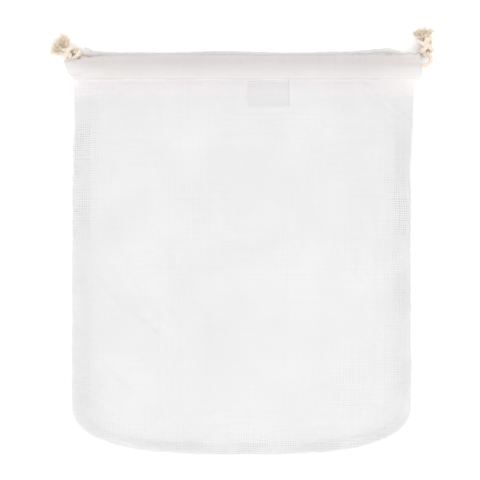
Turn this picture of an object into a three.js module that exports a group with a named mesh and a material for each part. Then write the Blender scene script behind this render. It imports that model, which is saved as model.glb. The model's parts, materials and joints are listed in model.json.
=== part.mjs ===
// A cotton mesh produce bag with a double drawstring. It lies flat on its back, slightly puffed,
// with its mouth towards +Y. Millimetres, +X to the right, +Z up. The origin is the middle of the
// underside of the back panel.
import * as THREE from 'three';

// Outline of the bag: straight sides, and a rounded bottom that follows a superellipse.
const HALF_WIDTH = 149.5;
const CORNER_Y = -133;
const BOTTOM_DEPTH = 43;
const POWER_ACROSS = 3;
const POWER_DOWN = 2.4;
const MOUTH_SHIFT = 2.6;

// Cloth. The front panel swells up from the seams to a flat top.
const FRONT_TOP_Y = 154;
const BACK_TOP_Y = 156.8;
const FRONT_THICKNESS = 0.8;
const BACK_THICKNESS = 0.7;
const SEAM_HEIGHT = 1.8;
const PUFF_HEIGHT = 11.8;
const SWELL_WIDTH = 45;
const SLIT_START_Y = 138;
const MOUTH_LIFT_START_Y = 90;
const ROW_EASING = 0.08;

// Casings: folded hems, each a flat ply that widens into a tunnel for two cords side by side.
const CASING_HEIGHT = 21;
const BULGE_HALF = 3.1;
const SHOULDER = [7, 10];
const TUNNEL_HALF = 2.5;
const TUNNEL_BOTTOM = 9.2;
const TUNNEL_TOP = 20.2;
const HEM_PLY = 1.4;
const FRONT_CASING_Y = 154.6;
const FRONT_CASING_Z = 15.2;
const FRONT_CASING_SAG = 1.5;
const FRONT_HEM_LOW = -1.6;
const BACK_CASING_Y = 157.4;
const FRONT_CASING_ENDS = { left: [-146, -154.2], right: [155.5, 158.5] };
const BACK_CASING_ENDS = { left: [-135, -138.5], right: [139.5, 141] };
const CORNER_DROOP = 8;
const DROOP_START_X = -110;
const DROOP_SPAN = 45;
const DROOP_POWER = 1.6;
const BACK_RISE = 3;
const RISE_START = 60;
const RISE_SPAN = 85;
const MOUTH_WALL_ENDS = [-120, 124];
const MOUTH_WALL_FADE = [-3.3, 0.9];
const CASING_STEPS = 16;

// Seam allowances, stitching and label.
const ALLOWANCE_INSET = 3;
const SIDE_ALLOWANCE = 12;
const BOTTOM_ALLOWANCE = 7;
const ALLOWANCE_THICKNESS = 0.7;
const GAP = 0.3;
const THREAD_RADIUS = 0.25;
const OVERLOCK_RADIUS = 0.4;
const STITCH_INSET = 1.5;
const FRONT_STITCH_ENDS = [-143, 152];
const BACK_STITCH_ENDS = [-133, 137];
const LABEL_SIZE = [38, 25.8, 0.6];
const LABEL_LEFT = 5;

// Drawstrings. Each enters both tunnels from its own side, turns round at the far side, and has
// its two ends knotted together. The left one lies in the upper lane, the right one in the lower.
const CORD_DIAMETER = 3.6;
const LEFT_KNOT_BASE = [-142, 173, 7.5];
const RIGHT_KNOT_BASE = [161.9, 178.6, 7.5];
const KNOT_LENGTH = 14;
const KNOT_GAP = 0.9;
const LEFT_KNOT_LEAN = 60;
const LEFT_TASSEL_LEAN = 43;
const RIGHT_KNOT_LEAN = 8;

const LEFT_ROUTE = [
  [-138.6, 171.9, 9.2], [-136.6, 171.4, 10.8], [-134, 170.5, 12.3], [-130, 169.6, 13.5],
  [-120, 169.6, 14.3], [-100, 170.6, 14.6], [-80, 171.4, 14.8], [-40, 172, 15.1], [0, 172, 15.2],
  [40, 172, 15.1], [80, 172, 14.8], [120, 171.6, 14.4], [132, 171.2, 14], [136.2, 171.8, 13],
  [138.5, 173.4, 10.2], [138.5, 175.4, 6.9], [136.2, 176.9, 4.1], [132, 177.4, 3.1],
  [120, 176.6, 3.1], [80, 175, 3.1], [40, 174.8, 3.1], [0, 174.8, 3.1], [-40, 174.8, 3.1],
  [-80, 175, 3.1], [-120, 176.3, 3.1], [-128, 176.5, 3.1], [-133, 176.1, 3.6],
  [-136.5, 175.1, 4.8], [-138.9, 174.3, 5.6],
];
const RIGHT_ROUTE = [
  [164.3, 175.8, 9], [165.8, 172.8, 9.8], [165, 169.2, 10.9], [161.6, 166.5, 12],
  [156, 166, 13.1], [148, 166.6, 13.8], [134, 167.1, 14.1], [120, 167.4, 14.3], [80, 167.6, 14.8],
  [40, 167.6, 15.1], [0, 167.6, 15.2], [-40, 167.6, 15.1], [-80, 167.2, 14.8], [-100, 166.5, 14.6],
  [-115, 165.9, 14.4], [-126, 165.1, 14], [-130.2, 165.6, 13], [-132.7, 167.2, 10.2],
  [-132.7, 169.6, 6.9], [-130.2, 171.5, 4.1], [-126, 172.3, 3.1], [-115, 171.6, 3.1],
  [-80, 170.6, 3.1], [-40, 170.4, 3.1], [0, 170.4, 3.1], [40, 170.4, 3.1], [80, 170.5, 3.1],
  [120, 171.7, 3.1], [134, 172.1, 3.1], [142, 172.6, 3.1], [150, 173.3, 3.1], [155, 174.3, 3.7],
  [158.9, 175.8, 5.1],
];

const bag = new THREE.Group();
bag.name = 'mesh_produce_bag';

const material = (color, roughness) => (
  new THREE.MeshStandardMaterial({ color, roughness, metalness: 0 })
);
const net = () => material('#f1f1ef', 0.95);
const hemCloth = () => material('#e4e0dd', 0.9);
const thread = () => material('#f4f2ee', 0.8);
const tape = () => material('#eae7e6', 0.6);
const cotton = () => material('#dccab4', 0.95);

function addMesh(name, geometry, meshMaterial) {
  const mesh = new THREE.Mesh(geometry, meshMaterial);
  mesh.name = name;
  bag.add(mesh);
  return mesh;
}

const { clamp, lerp, smoothstep, degToRad } = THREE.MathUtils;

// ---- shapes that the pieces share ----

function mouthShift(y) {
  return MOUTH_SHIFT * Math.max(0, y / FRONT_TOP_Y) ** 2;
}

function bottomEdge(across) {
  const depth = (1 - Math.abs(across) ** POWER_ACROSS) ** (1 / POWER_DOWN);
  return CORNER_Y - BOTTOM_DEPTH * depth;
}

// A point of the bottom seam, by angle from the right-hand corner (0) to the left-hand one (pi).
function bottomSeam(angle) {
  const across = Math.sign(Math.cos(angle)) * Math.abs(Math.cos(angle)) ** (2 / POWER_ACROSS);
  const down = Math.sin(angle) ** (2 / POWER_DOWN);
  return new THREE.Vector2(HALF_WIDTH * across, CORNER_Y - BOTTOM_DEPTH * down);
}

// The same point moved into the bag, square to the seam.
function insideBottomSeam(angle, inset) {
  const step = 0.01;
  const along = bottomSeam(angle + step).sub(bottomSeam(angle - step)).normalize();
  return bottomSeam(angle).add(new THREE.Vector2(along.y, -along.x).multiplyScalar(inset));
}

function swell(distance) {
  return 1 - (1 - clamp(distance / SWELL_WIDTH, 0, 1)) ** 2;
}

function frontCasingHeight(x) {
  return FRONT_CASING_Z - FRONT_CASING_SAG * (x / HALF_WIDTH) ** 2;
}

function frontPanelUnderside(across, x, y) {
  const hem = frontCasingHeight(x) + FRONT_HEM_LOW + GAP;
  const edge = lerp(SEAM_HEIGHT, hem, smoothstep(y, SLIT_START_Y, FRONT_TOP_Y));
  const top = lerp(PUFF_HEIGHT, hem, smoothstep(y, MOUTH_LIFT_START_Y, FRONT_TOP_Y));
  const fromSide = HALF_WIDTH * (1 - Math.abs(across));
  return lerp(edge, top, swell(fromSide) * swell(y - bottomEdge(across)));
}

// Moves every vertex of a geometry to where place says.
function reshape(geometry, place) {
  const positions = geometry.attributes.position;
  const spot = new THREE.Vector3();
  for (let i = 0; i < positions.count; i += 1) {
    spot.fromBufferAttribute(positions, i);
    positions.setXYZ(i, ...place(spot));
  }
  geometry.deleteAttribute('normal');
  geometry.deleteAttribute('uv');
  geometry.computeVertexNormals();
  return geometry;
}

// A closed sheet of cloth. underside(across, along) gives a point of its lower face, with across
// from -1 to 1 and along from 0 to 1, and the upper face lies straight above it.
function sheet(columns, rows, thickness, underside) {
  return reshape(new THREE.BoxGeometry(2, 1, 1, columns, rows, 1), (spot) => {
    const [x, y, z] = underside(spot.x, spot.y + 0.5);
    return [x, y, z + (spot.z + 0.5) * thickness];
  });
}

// A tube with closed ends through the points given.
function tube(points, radius, sides, stepsPerPoint) {
  const section = new THREE.Shape();
  for (let i = 0; i < sides; i += 1) {
    const angle = (2 * Math.PI * (i + 0.5)) / sides;
    const corner = [radius * Math.cos(angle), radius * Math.sin(angle)];
    if (i === 0) section.moveTo(...corner);
    else section.lineTo(...corner);
  }
  section.closePath();
  const path = new THREE.CatmullRomCurve3(points.map((point) => new THREE.Vector3(...point)));
  path.getUtoTmapping = (u) => u;
  const steps = (points.length - 1) * stepsPerPoint;
  return new THREE.ExtrudeGeometry(section, { steps, bevelEnabled: false, extrudePath: path });
}

// ---- panels ----

function panelPoint(across, along, topY) {
  const u = Math.sin((across * Math.PI) / 2);
  const eased = along - ROW_EASING * Math.sin(2 * Math.PI * along);
  const y = lerp(bottomEdge(u), topY, eased);
  return [u, u * HALF_WIDTH + mouthShift(y), y];
}

addMesh('front_panel', sheet(24, 20, FRONT_THICKNESS, (across, along) => {
  const [u, x, y] = panelPoint(across, along, FRONT_TOP_Y);
  return [x, y, frontPanelUnderside(u, x, y)];
}), net());

addMesh('back_panel', sheet(24, 6, BACK_THICKNESS, (across, along) => {
  const [, x, y] = panelPoint(across, along, BACK_TOP_Y);
  return [x, y, 0];
}), net());

// ---- casings ----

// The section across a casing: x is the height above its hem edge, y is up.
function casingSection(hemLow) {
  const hemHigh = hemLow + HEM_PLY;
  const [hemEnd, shoulder, bulge, nose] = [6, 8.4, 11, 17.5];
  const section = new THREE.Shape();
  section.moveTo(0, hemLow);
  section.lineTo(hemEnd, hemLow);
  section.quadraticCurveTo(shoulder, -BULGE_HALF, bulge, -BULGE_HALF);
  section.lineTo(nose, -BULGE_HALF);
  section.quadraticCurveTo(CASING_HEIGHT, -BULGE_HALF, CASING_HEIGHT, 0);
  section.quadraticCurveTo(CASING_HEIGHT, BULGE_HALF, nose, BULGE_HALF);
  section.lineTo(bulge, BULGE_HALF);
  section.quadraticCurveTo(shoulder, BULGE_HALF, hemEnd, hemHigh);
  section.lineTo(0, hemHigh);
  section.closePath();
  const tunnel = new THREE.Path();
  tunnel.moveTo(TUNNEL_BOTTOM, -1.4);
  tunnel.lineTo(TUNNEL_BOTTOM, 1.4);
  tunnel.lineTo(TUNNEL_BOTTOM + 0.8, TUNNEL_HALF);
  tunnel.lineTo(TUNNEL_TOP - 1.2, TUNNEL_HALF);
  tunnel.lineTo(TUNNEL_TOP, 1.2);
  tunnel.lineTo(TUNNEL_TOP, -1.2);
  tunnel.lineTo(TUNNEL_TOP - 1.2, -TUNNEL_HALF);
  tunnel.lineTo(TUNNEL_BOTTOM + 0.8, -TUNNEL_HALF);
  tunnel.closePath();
  section.holes.push(tunnel);
  return section;
}

// A casing runs from its left end to its right end. On the side that faces the mouth its wall stops
// short, and leaves the room in which a cord turns from one tunnel into the other.
function casing(hemLow, mouthSide, ends, place) {
  const extrusion = new THREE.ExtrudeGeometry(casingSection(hemLow), {
    depth: 1, steps: CASING_STEPS, bevelEnabled: false, curveSegments: 3,
  });
  return reshape(extrusion, (spot) => {
    const [height, up, along] = [spot.x, spot.y, spot.z];
    const inner = smoothstep(mouthSide * up, ...MOUTH_WALL_FADE) * smoothstep(height, ...SHOULDER);
    const part = height / CASING_HEIGHT;
    const from = lerp(lerp(...ends.left, part), MOUTH_WALL_ENDS[0], inner);
    const to = lerp(lerp(...ends.right, part), MOUTH_WALL_ENDS[1], inner);
    const x = lerp(from, to, along);
    return [x, ...place(x, height, up)];
  });
}

addMesh('front_casing', casing(
  FRONT_HEM_LOW,
  -1,
  FRONT_CASING_ENDS,
  (x, height, up) => {
    const droop = CORNER_DROOP * Math.max(0, (DROOP_START_X - x) / DROOP_SPAN) ** DROOP_POWER;
    const y = FRONT_CASING_Y + height - droop * smoothstep(height, 0, SHOULDER[1]);
    return [y, frontCasingHeight(x) + up];
  },
), hemCloth());

addMesh('back_casing', casing(
  -BULGE_HALF,
  1,
  BACK_CASING_ENDS,
  (x, height, up) => {
    const rise = BACK_RISE * Math.max(0, (Math.abs(x) - RISE_START) / RISE_SPAN) ** 2;
    const y = BACK_CASING_Y + height + rise * smoothstep(height, 0, SHOULDER[1]);
    return [y, BULGE_HALF + up];
  },
), hemCloth());

// ---- seam allowances inside the bag, and the overlock thread along each raw edge ----

const allowanceZ = BACK_THICKNESS + GAP;
const sideBottomY = CORNER_Y - 1;
const sideTopY = SLIT_START_Y - 2;
const seamAngles = [degToRad(172), degToRad(8)];

function sidePath(side, inset, z) {
  const points = [];
  for (let i = 0; i <= 8; i += 1) {
    const y = lerp(sideBottomY, sideTopY, i / 8);
    points.push([side * (HALF_WIDTH - inset) + mouthShift(y), y, z]);
  }
  return points;
}

function bottomPath(inset, z) {
  const points = [];
  for (let i = 0; i <= 28; i += 1) {
    const spot = insideBottomSeam(lerp(...seamAngles, i / 28), inset);
    points.push([spot.x, spot.y, z]);
  }
  return points;
}

for (const [name, side] of [['left', -1], ['right', 1]]) {
  const middle = HALF_WIDTH - ALLOWANCE_INSET - SIDE_ALLOWANCE / 2;
  addMesh(`${name}_seam_allowance`, sheet(1, 10, ALLOWANCE_THICKNESS, (across, along) => {
    const y = lerp(sideBottomY, sideTopY, along);
    return [side * middle + (across * SIDE_ALLOWANCE) / 2 + mouthShift(y), y, allowanceZ];
  }), net());
  const overlockInset = ALLOWANCE_INSET + SIDE_ALLOWANCE + GAP + OVERLOCK_RADIUS;
  const overlock = sidePath(side, overlockInset, allowanceZ + OVERLOCK_RADIUS);
  addMesh(`${name}_overlock_thread`, tube(overlock, OVERLOCK_RADIUS, 5, 1), thread());
  const stitches = sidePath(side, STITCH_INSET, allowanceZ + THREAD_RADIUS);
  addMesh(`${name}_seam_stitching`, tube(stitches, THREAD_RADIUS, 4, 1), thread());
}

addMesh('bottom_seam_allowance', sheet(28, 1, ALLOWANCE_THICKNESS, (across, along) => {
  const inset = ALLOWANCE_INSET + BOTTOM_ALLOWANCE * along;
  const spot = insideBottomSeam(lerp(...seamAngles, (across + 1) / 2), inset);
  return [spot.x, spot.y, allowanceZ];
}), net());
const bottomOverlockInset = ALLOWANCE_INSET + BOTTOM_ALLOWANCE + GAP + OVERLOCK_RADIUS;
const bottomOverlock = bottomPath(bottomOverlockInset, allowanceZ + OVERLOCK_RADIUS);
addMesh('bottom_overlock_thread', tube(bottomOverlock, OVERLOCK_RADIUS, 5, 1), thread());
const bottomStitches = bottomPath(STITCH_INSET, allowanceZ + THREAD_RADIUS);
addMesh('bottom_seam_stitching', tube(bottomStitches, THREAD_RADIUS, 4, 1), thread());

// ---- the rows of stitches that close the casings ----

function hemStitches(left, right, place) {
  const points = [];
  for (let i = 0; i <= 12; i += 1) {
    const x = lerp(left, right, i / 12);
    points.push([x, ...place(x)]);
  }
  return tube(points, THREAD_RADIUS, 4, 1);
}

const onHem = HEM_PLY + GAP + THREAD_RADIUS;
addMesh('front_casing_stitching', hemStitches(...FRONT_STITCH_ENDS, (x) => [
  FRONT_CASING_Y + STITCH_INSET, frontCasingHeight(x) + FRONT_HEM_LOW + onHem,
]), thread());
addMesh('back_casing_stitching', hemStitches(...BACK_STITCH_ENDS, () => [
  BACK_CASING_Y + STITCH_INSET, onHem,
]), thread());

// ---- the label, sewn in at the back casing and lying on the back panel ----

const [labelWidth, labelLength, labelThickness] = LABEL_SIZE;
addMesh('inner_label', sheet(6, 4, labelThickness, (across, along) => [
  LABEL_LEFT + (labelWidth * (across + 1)) / 2,
  BACK_TOP_Y - labelLength * (1 - along),
  allowanceZ,
]), tape());

// ---- drawstrings, knots and frayed ends ----

addMesh('left_drawstring', tube(LEFT_ROUTE, CORD_DIAMETER / 2, 8, 2), cotton());
addMesh('right_drawstring', tube(RIGHT_ROUTE, CORD_DIAMETER / 2, 8, 2), cotton());

function turned(profile) {
  return new THREE.LatheGeometry(profile.map(([radius, height]) => new THREE.Vector2(radius, height)), 14);
}

// A knot stands on the round lower end that its two legs run into, and leans towards -X.
function addKnot(name, base, knotLean, tasselLean) {
  const knot = addMesh(`${name}_knot`, turned([
    [0, -3.2], [2.3, -2.3], [3.2, 0], [3.8, 1.5], [5.6, 3.5], [6.9, 6], [7, 8.5], [6.2, 11],
    [4, 13.2], [0, KNOT_LENGTH],
  ]), cotton());
  knot.position.set(...base);
  knot.rotation.z = degToRad(knotLean);
  const ends = addMesh(`${name}_frayed_ends`, turned([
    [0, 0], [2.8, 0], [3.6, 3], [5.2, 6], [6.9, 9.5], [5.4, 11.2], [0, 11.6],
  ]), cotton());
  const reach = KNOT_LENGTH + KNOT_GAP;
  const lean = degToRad(knotLean);
  ends.position.set(base[0] - reach * Math.sin(lean), base[1] + reach * Math.cos(lean), base[2]);
  ends.rotation.z = degToRad(tasselLean);
}

addKnot('left', LEFT_KNOT_BASE, LEFT_KNOT_LEAN, LEFT_TASSEL_LEAN);
addKnot('right', RIGHT_KNOT_BASE, RIGHT_KNOT_LEAN, RIGHT_KNOT_LEAN);

export default bag;
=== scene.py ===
"""The looks of a cotton mesh produce bag with a double drawstring, lying flat on its back.

The net is woven thread by thread over a simulated cloth surface, the casings are folded hems swept
round their cords, and the cords, knots and frayed ends are laid from twisted strands."""
import json
import math

import bpy
import numpy as np
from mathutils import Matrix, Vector
from mathutils.bvhtree import BVHTree

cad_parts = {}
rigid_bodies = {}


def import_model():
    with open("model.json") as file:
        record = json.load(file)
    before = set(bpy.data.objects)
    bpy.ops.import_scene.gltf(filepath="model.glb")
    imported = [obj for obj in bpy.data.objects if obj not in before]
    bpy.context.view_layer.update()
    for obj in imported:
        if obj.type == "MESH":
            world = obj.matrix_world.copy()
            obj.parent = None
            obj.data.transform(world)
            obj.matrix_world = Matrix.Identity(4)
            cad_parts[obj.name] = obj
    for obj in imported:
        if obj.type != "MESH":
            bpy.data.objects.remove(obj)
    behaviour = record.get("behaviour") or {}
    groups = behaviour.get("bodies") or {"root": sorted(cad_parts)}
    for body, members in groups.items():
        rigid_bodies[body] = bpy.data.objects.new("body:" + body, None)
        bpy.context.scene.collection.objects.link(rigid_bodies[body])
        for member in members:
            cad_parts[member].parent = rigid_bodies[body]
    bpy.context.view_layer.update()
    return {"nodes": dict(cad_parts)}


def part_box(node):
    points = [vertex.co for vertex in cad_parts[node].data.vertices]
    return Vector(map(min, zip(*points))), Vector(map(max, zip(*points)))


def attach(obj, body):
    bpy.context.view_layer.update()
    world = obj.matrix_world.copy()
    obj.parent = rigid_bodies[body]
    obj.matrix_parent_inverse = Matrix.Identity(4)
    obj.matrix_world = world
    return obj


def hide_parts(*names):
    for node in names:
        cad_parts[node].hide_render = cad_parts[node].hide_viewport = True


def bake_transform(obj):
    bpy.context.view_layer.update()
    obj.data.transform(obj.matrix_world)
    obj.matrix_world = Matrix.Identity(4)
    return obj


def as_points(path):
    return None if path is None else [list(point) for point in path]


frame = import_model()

MM = 0.001
SEED = 11

# The outline repeats the CAD one: straight sides and a superellipse at the bottom.
BACK_LOW, BACK_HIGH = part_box("back_panel")
FRONT_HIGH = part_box("front_panel")[1]
HALF_WIDTH = -BACK_LOW.x
BOTTOM_DEPTH = 43 * MM
CORNER_Y = BACK_LOW.y + BOTTOM_DEPTH
POWER_ACROSS = 3
POWER_DOWN = 2.4
MOUTH_SHIFT = BACK_HIGH.x - HALF_WIDTH

# Net
YARN_PITCH = 2.05 * MM
YARN_WIDTH = 0.98 * MM
HEM_PITCH = 1.55 * MM
HEM_WIDTH = 1.06 * MM
YARN_CROWN = 0.2 * MM
YARN_WEAVE = 0.13 * MM
GRID_COLUMNS = 73
GRID_ROWS = 77
MAX_SHIFT = 3 * MM
EASED = 0.08

# Casings: folded hems that hold the cords. Heights are from the hem edge to the fold.
CASING_HEIGHT = 21
FRONT_CASING_Y = 154.6
FRONT_CASING_Z = 15.2
FRONT_CASING_SAG = 1.5
BACK_CASING_Y = 157.4
BACK_CASING_Z = 3.1

# Seams
SIDE_INSET = (3 * MM, 15 * MM)
BOTTOM_INSET = (3 * MM, 10 * MM)
ALLOWANCE_Z = (1.12 * MM, 1.5 * MM)
SIDE_TOP_Y = 136 * MM
STITCH_LENGTH = 2.6 * MM
STITCH_INSET = 1.5 * MM
ALLOWANCE_WEAVE = 0.06 * MM
OVERLOCK_WIDTH = 3.2 * MM
SEAM_THREAD_RADIUS = 0.24 * MM

# Cords: places are in millimetres, and the knots' leans are in degrees to the left of straight up.
CORD_DIAMETER = 3.6 * MM
ROPE_SHARE = 0.94
STRAND_LAY = 11 * MM
LEFT_KNOT_BASE = (-142, 173, 7.5)
RIGHT_KNOT_BASE = (161.9, 178.6, 7.5)
KNOT_LENGTH = 14
KNOT_REST = 2.1
KNOT_SQUASH = 0.8
HAIRS = 40
LEFT_KNOT_LEAN = 60
LEFT_TASSEL_LEAN = 48
RIGHT_KNOT_LEAN = 8
LEFT_ROUTE = [
    (-138.6, 171.9, 9.2), (-136.6, 171.4, 10.8), (-134, 170.5, 12.3), (-130, 169.6, 13.5),
    (-120, 169.6, 14.3), (-100, 170.6, 14.6), (-80, 171.4, 14.8), (-40, 172, 15.1), (0, 172, 15.2),
    (40, 172, 15.1), (80, 172, 14.8), (120, 171.6, 14.4), (132, 171.2, 14), (136.2, 171.8, 13),
    (138.5, 173.4, 10.2), (138.5, 175.4, 6.9), (136.2, 176.9, 4.1), (132, 177.4, 3.1),
    (120, 176.6, 3.1), (80, 175, 3.1), (40, 174.8, 3.1), (0, 174.8, 3.1), (-40, 174.8, 3.1),
    (-80, 175, 3.1), (-120, 176.3, 3.1), (-128, 176.5, 3.1), (-133, 176.1, 3.6),
    (-136.5, 175.1, 4.8), (-138.9, 174.3, 5.6),
]
RIGHT_ROUTE = [
    (164.3, 175.8, 9), (165.8, 172.8, 9.8), (165, 169.2, 10.9), (161.6, 166.5, 12),
    (156, 166, 13.1), (148, 166.6, 13.8), (134, 167.1, 14.1), (120, 167.4, 14.3), (80, 167.6, 14.8),
    (40, 167.6, 15.1), (0, 167.6, 15.2), (-40, 167.6, 15.1), (-80, 167.2, 14.8),
    (-100, 166.5, 14.6),
    (-115, 165.9, 14.4), (-126, 165.1, 14), (-130.2, 165.6, 13), (-132.7, 167.2, 10.2),
    (-132.7, 169.6, 6.9), (-130.2, 171.5, 4.1), (-126, 172.3, 3.1), (-115, 171.6, 3.1),
    (-80, 170.6, 3.1), (-40, 170.4, 3.1), (0, 170.4, 3.1), (40, 170.4, 3.1), (80, 170.5, 3.1),
    (120, 171.7, 3.1), (134, 172.1, 3.1), (142, 172.6, 3.1), (150, 173.3, 3.1), (155, 174.3, 3.7),
    (158.9, 175.8, 5.1),
]


# ---- camera, light and floor ----

def make_camera():
    """Straight down on the bag, with a long lens."""
    lens, view_width = 100, 423.5 * MM
    data = bpy.data.cameras.new("camera")
    data.lens = lens
    data.clip_end = 20
    camera = bpy.data.objects.new("camera", data)
    height = view_width * lens / data.sensor_width
    camera.location = (-1.3 * MM, 13.7 * MM, height)
    bpy.context.scene.collection.objects.link(camera)
    bpy.context.scene.camera = camera


def make_light():
    """A bright even room, and a large soft lamp over the lower half of the bag."""
    scene = bpy.context.scene
    scene.view_settings.view_transform = "Standard"
    scene.view_settings.look = "None"
    world = bpy.data.worlds.new("studio")
    scene.world = world
    world.use_nodes = True
    background = world.node_tree.nodes["Background"]
    background.inputs["Color"].default_value = (1, 1, 1, 1)
    background.inputs["Strength"].default_value = 1.19
    for name, place, size, power in (
        ("key", (-0.15, -0.5, 1.2), 0.7, 3.4),
        ("fill", (0.5, 0.5, 1.3), 1.2, 1.5),
    ):
        data = bpy.data.lights.new(name, "AREA")
        data.size = size
        data.energy = power
        lamp = bpy.data.objects.new(name, data)
        lamp.location = place
        lamp.rotation_euler = (-Vector(place)).to_track_quat("-Z", "Y").to_euler()
        scene.collection.objects.link(lamp)


def make_floor(material):
    bpy.ops.mesh.primitive_plane_add(size=8, location=(0, 0, -0.2 * MM))
    floor = bpy.context.object
    floor.name = "floor"
    floor.data.materials.append(material)


# ---- materials ----

class Nodes:
    """A material's node tree, built one link at a time."""

    def __init__(self, name):
        self.material = bpy.data.materials.new(name)
        self.material.use_nodes = True
        self.tree = self.material.node_tree
        self.shader = self.tree.nodes["Principled BSDF"]

    def add(self, kind, **settings):
        node = self.tree.nodes.new(kind)
        for key, value in settings.items():
            if hasattr(node, key):
                setattr(node, key, value)
            else:
                node.inputs[key.replace("_", " ")].default_value = value
        return node

    def link(self, source, target):
        self.tree.links.new(source, target)

    def noise(self, scale, detail, vector):
        node = self.add("ShaderNodeTexNoise", Scale=scale, Detail=detail)
        self.link(vector, node.inputs["Vector"])
        return node.outputs["Fac"]

    def objects(self):
        return self.add("ShaderNodeTexCoord").outputs["Object"]

    def ramp(self, factor, stops):
        node = self.add("ShaderNodeValToRGB")
        while len(node.color_ramp.elements) < len(stops):
            node.color_ramp.elements.new(0.5)
        for element, (place, color) in zip(node.color_ramp.elements, stops):
            element.position = place
            element.color = (*color, 1)
        self.link(factor, node.inputs["Fac"])
        return node.outputs["Color"]

    def multiplied(self, first, second):
        node = self.add("ShaderNodeMix", data_type="RGBA", blend_type="MULTIPLY")
        node.inputs["Factor"].default_value = 1.0
        self.link(first, node.inputs[6])
        self.link(second, node.inputs[7])
        return node.outputs[2]

    def split(self, vector):
        node = self.add("ShaderNodeSeparateXYZ")
        self.link(vector, node.inputs[0])
        return node.outputs

    def math(self, operation, first, second):
        node = self.add("ShaderNodeMath", operation=operation)
        for value, socket in zip((first, second), node.inputs):
            if isinstance(value, (int, float)):
                socket.default_value = value
            else:
                self.link(value, socket)
        return node.outputs[0]

    def bump(self, height, strength, distance):
        node = self.add("ShaderNodeBump", Strength=strength, Distance=distance)
        self.link(height, node.inputs["Height"])
        self.link(node.outputs["Normal"], self.shader.inputs["Normal"])

    def finish(self, color, roughness, sheen=0.0):
        self.link(color, self.shader.inputs["Base Color"])
        if isinstance(roughness, float):
            self.shader.inputs["Roughness"].default_value = roughness
        else:
            self.link(roughness, self.shader.inputs["Roughness"])
        self.shader.inputs["Sheen Weight"].default_value = sheen
        self.shader.inputs["Sheen Roughness"].default_value = 0.5
        self.shader.inputs["Specular IOR Level"].default_value = 0.2
        return self.material


def roughness_from(nodes, factor, low, high):
    node = nodes.add("ShaderNodeMapRange")
    nodes.link(factor, node.inputs["Value"])
    node.inputs["To Min"].default_value = low
    node.inputs["To Max"].default_value = high
    return node.outputs["Result"]


def yarn_material(name, light, dark, glow=0.3, lower=1.0, upper=(1, 1, 1), change=(0.147, 0.158)):
    """Matt spun cotton that lets some light through. Its brightness carries painted light and
    shade, going from lower to upper between the two heights up the bag in change."""
    nodes = Nodes(name)
    place = nodes.objects()
    fibre = nodes.noise(4200.0, 4.0, place)
    cloud = nodes.noise(26.0, 3.0, place)
    fine = nodes.ramp(fibre, [(0.3, dark), (0.7, light)])
    slow = nodes.ramp(cloud, [(0.3, (0.965, 0.965, 0.97)), (0.7, (1, 1, 1))])
    nodes.bump(fibre, 0.5, 0.00008)
    height = nodes.add("ShaderNodeMapRange")
    nodes.link(nodes.split(place)[1], height.inputs["Value"])
    height.inputs["From Min"].default_value, height.inputs["From Max"].default_value = change
    # Painted light and shade: a brightness ramp up the bag that lightens or darkens the cloth near
    # the casings, standing in for light and shadow there.
    painted_light_and_shade = nodes.ramp(height.outputs["Result"], [(0.0, (lower, lower, lower)), (1.0, upper)])
    color = nodes.multiplied(nodes.multiplied(fine, slow), painted_light_and_shade)
    material = nodes.finish(color, roughness_from(nodes, fibre, 0.82, 1.0), 0.2)
    through = nodes.add("ShaderNodeBsdfTranslucent")
    nodes.link(color, through.inputs["Color"])
    both = nodes.add("ShaderNodeMixShader")
    both.inputs[0].default_value = glow
    nodes.link(nodes.shader.outputs[0], both.inputs[1])
    nodes.link(through.outputs[0], both.inputs[2])
    nodes.link(both.outputs[0], nodes.tree.nodes["Material Output"].inputs["Surface"])
    return material


def weave_height(nodes, pitch, uv):
    """Height of a plain weave, from a UV in metres: 1 on a yarn's crown, 0 in a gap."""
    parts = nodes.split(uv)
    waves = []
    for axis in (0, 1):
        turns = nodes.math("MULTIPLY", parts[axis], 2 * math.pi / pitch)
        waves.append(nodes.math("ABSOLUTE", nodes.math("SINE", turns, 0.0), 0.0))
    return nodes.math("MAXIMUM", *waves)


def label_material():
    """Smooth woven tape with fine ribs across it."""
    nodes = Nodes("label_tape")
    uv = nodes.add("ShaderNodeTexCoord").outputs["UV"]
    ribs = weave_height(nodes, 0.7 * MM, uv)
    cloud = nodes.noise(120.0, 2.0, nodes.objects())
    # Painted shade: the grooves between the ribs are darker than their crowns.
    color = nodes.ramp(ribs, [(0.3, (0.6, 0.585, 0.59)), (1.0, (0.7, 0.685, 0.69))])
    slow = nodes.ramp(cloud, [(0.3, (0.94, 0.94, 0.95)), (0.7, (1, 1, 1))])
    nodes.bump(ribs, 0.4, 0.0001)
    return nodes.finish(nodes.multiplied(color, slow), roughness_from(nodes, ribs, 0.5, 0.65), 0.1)


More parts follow.
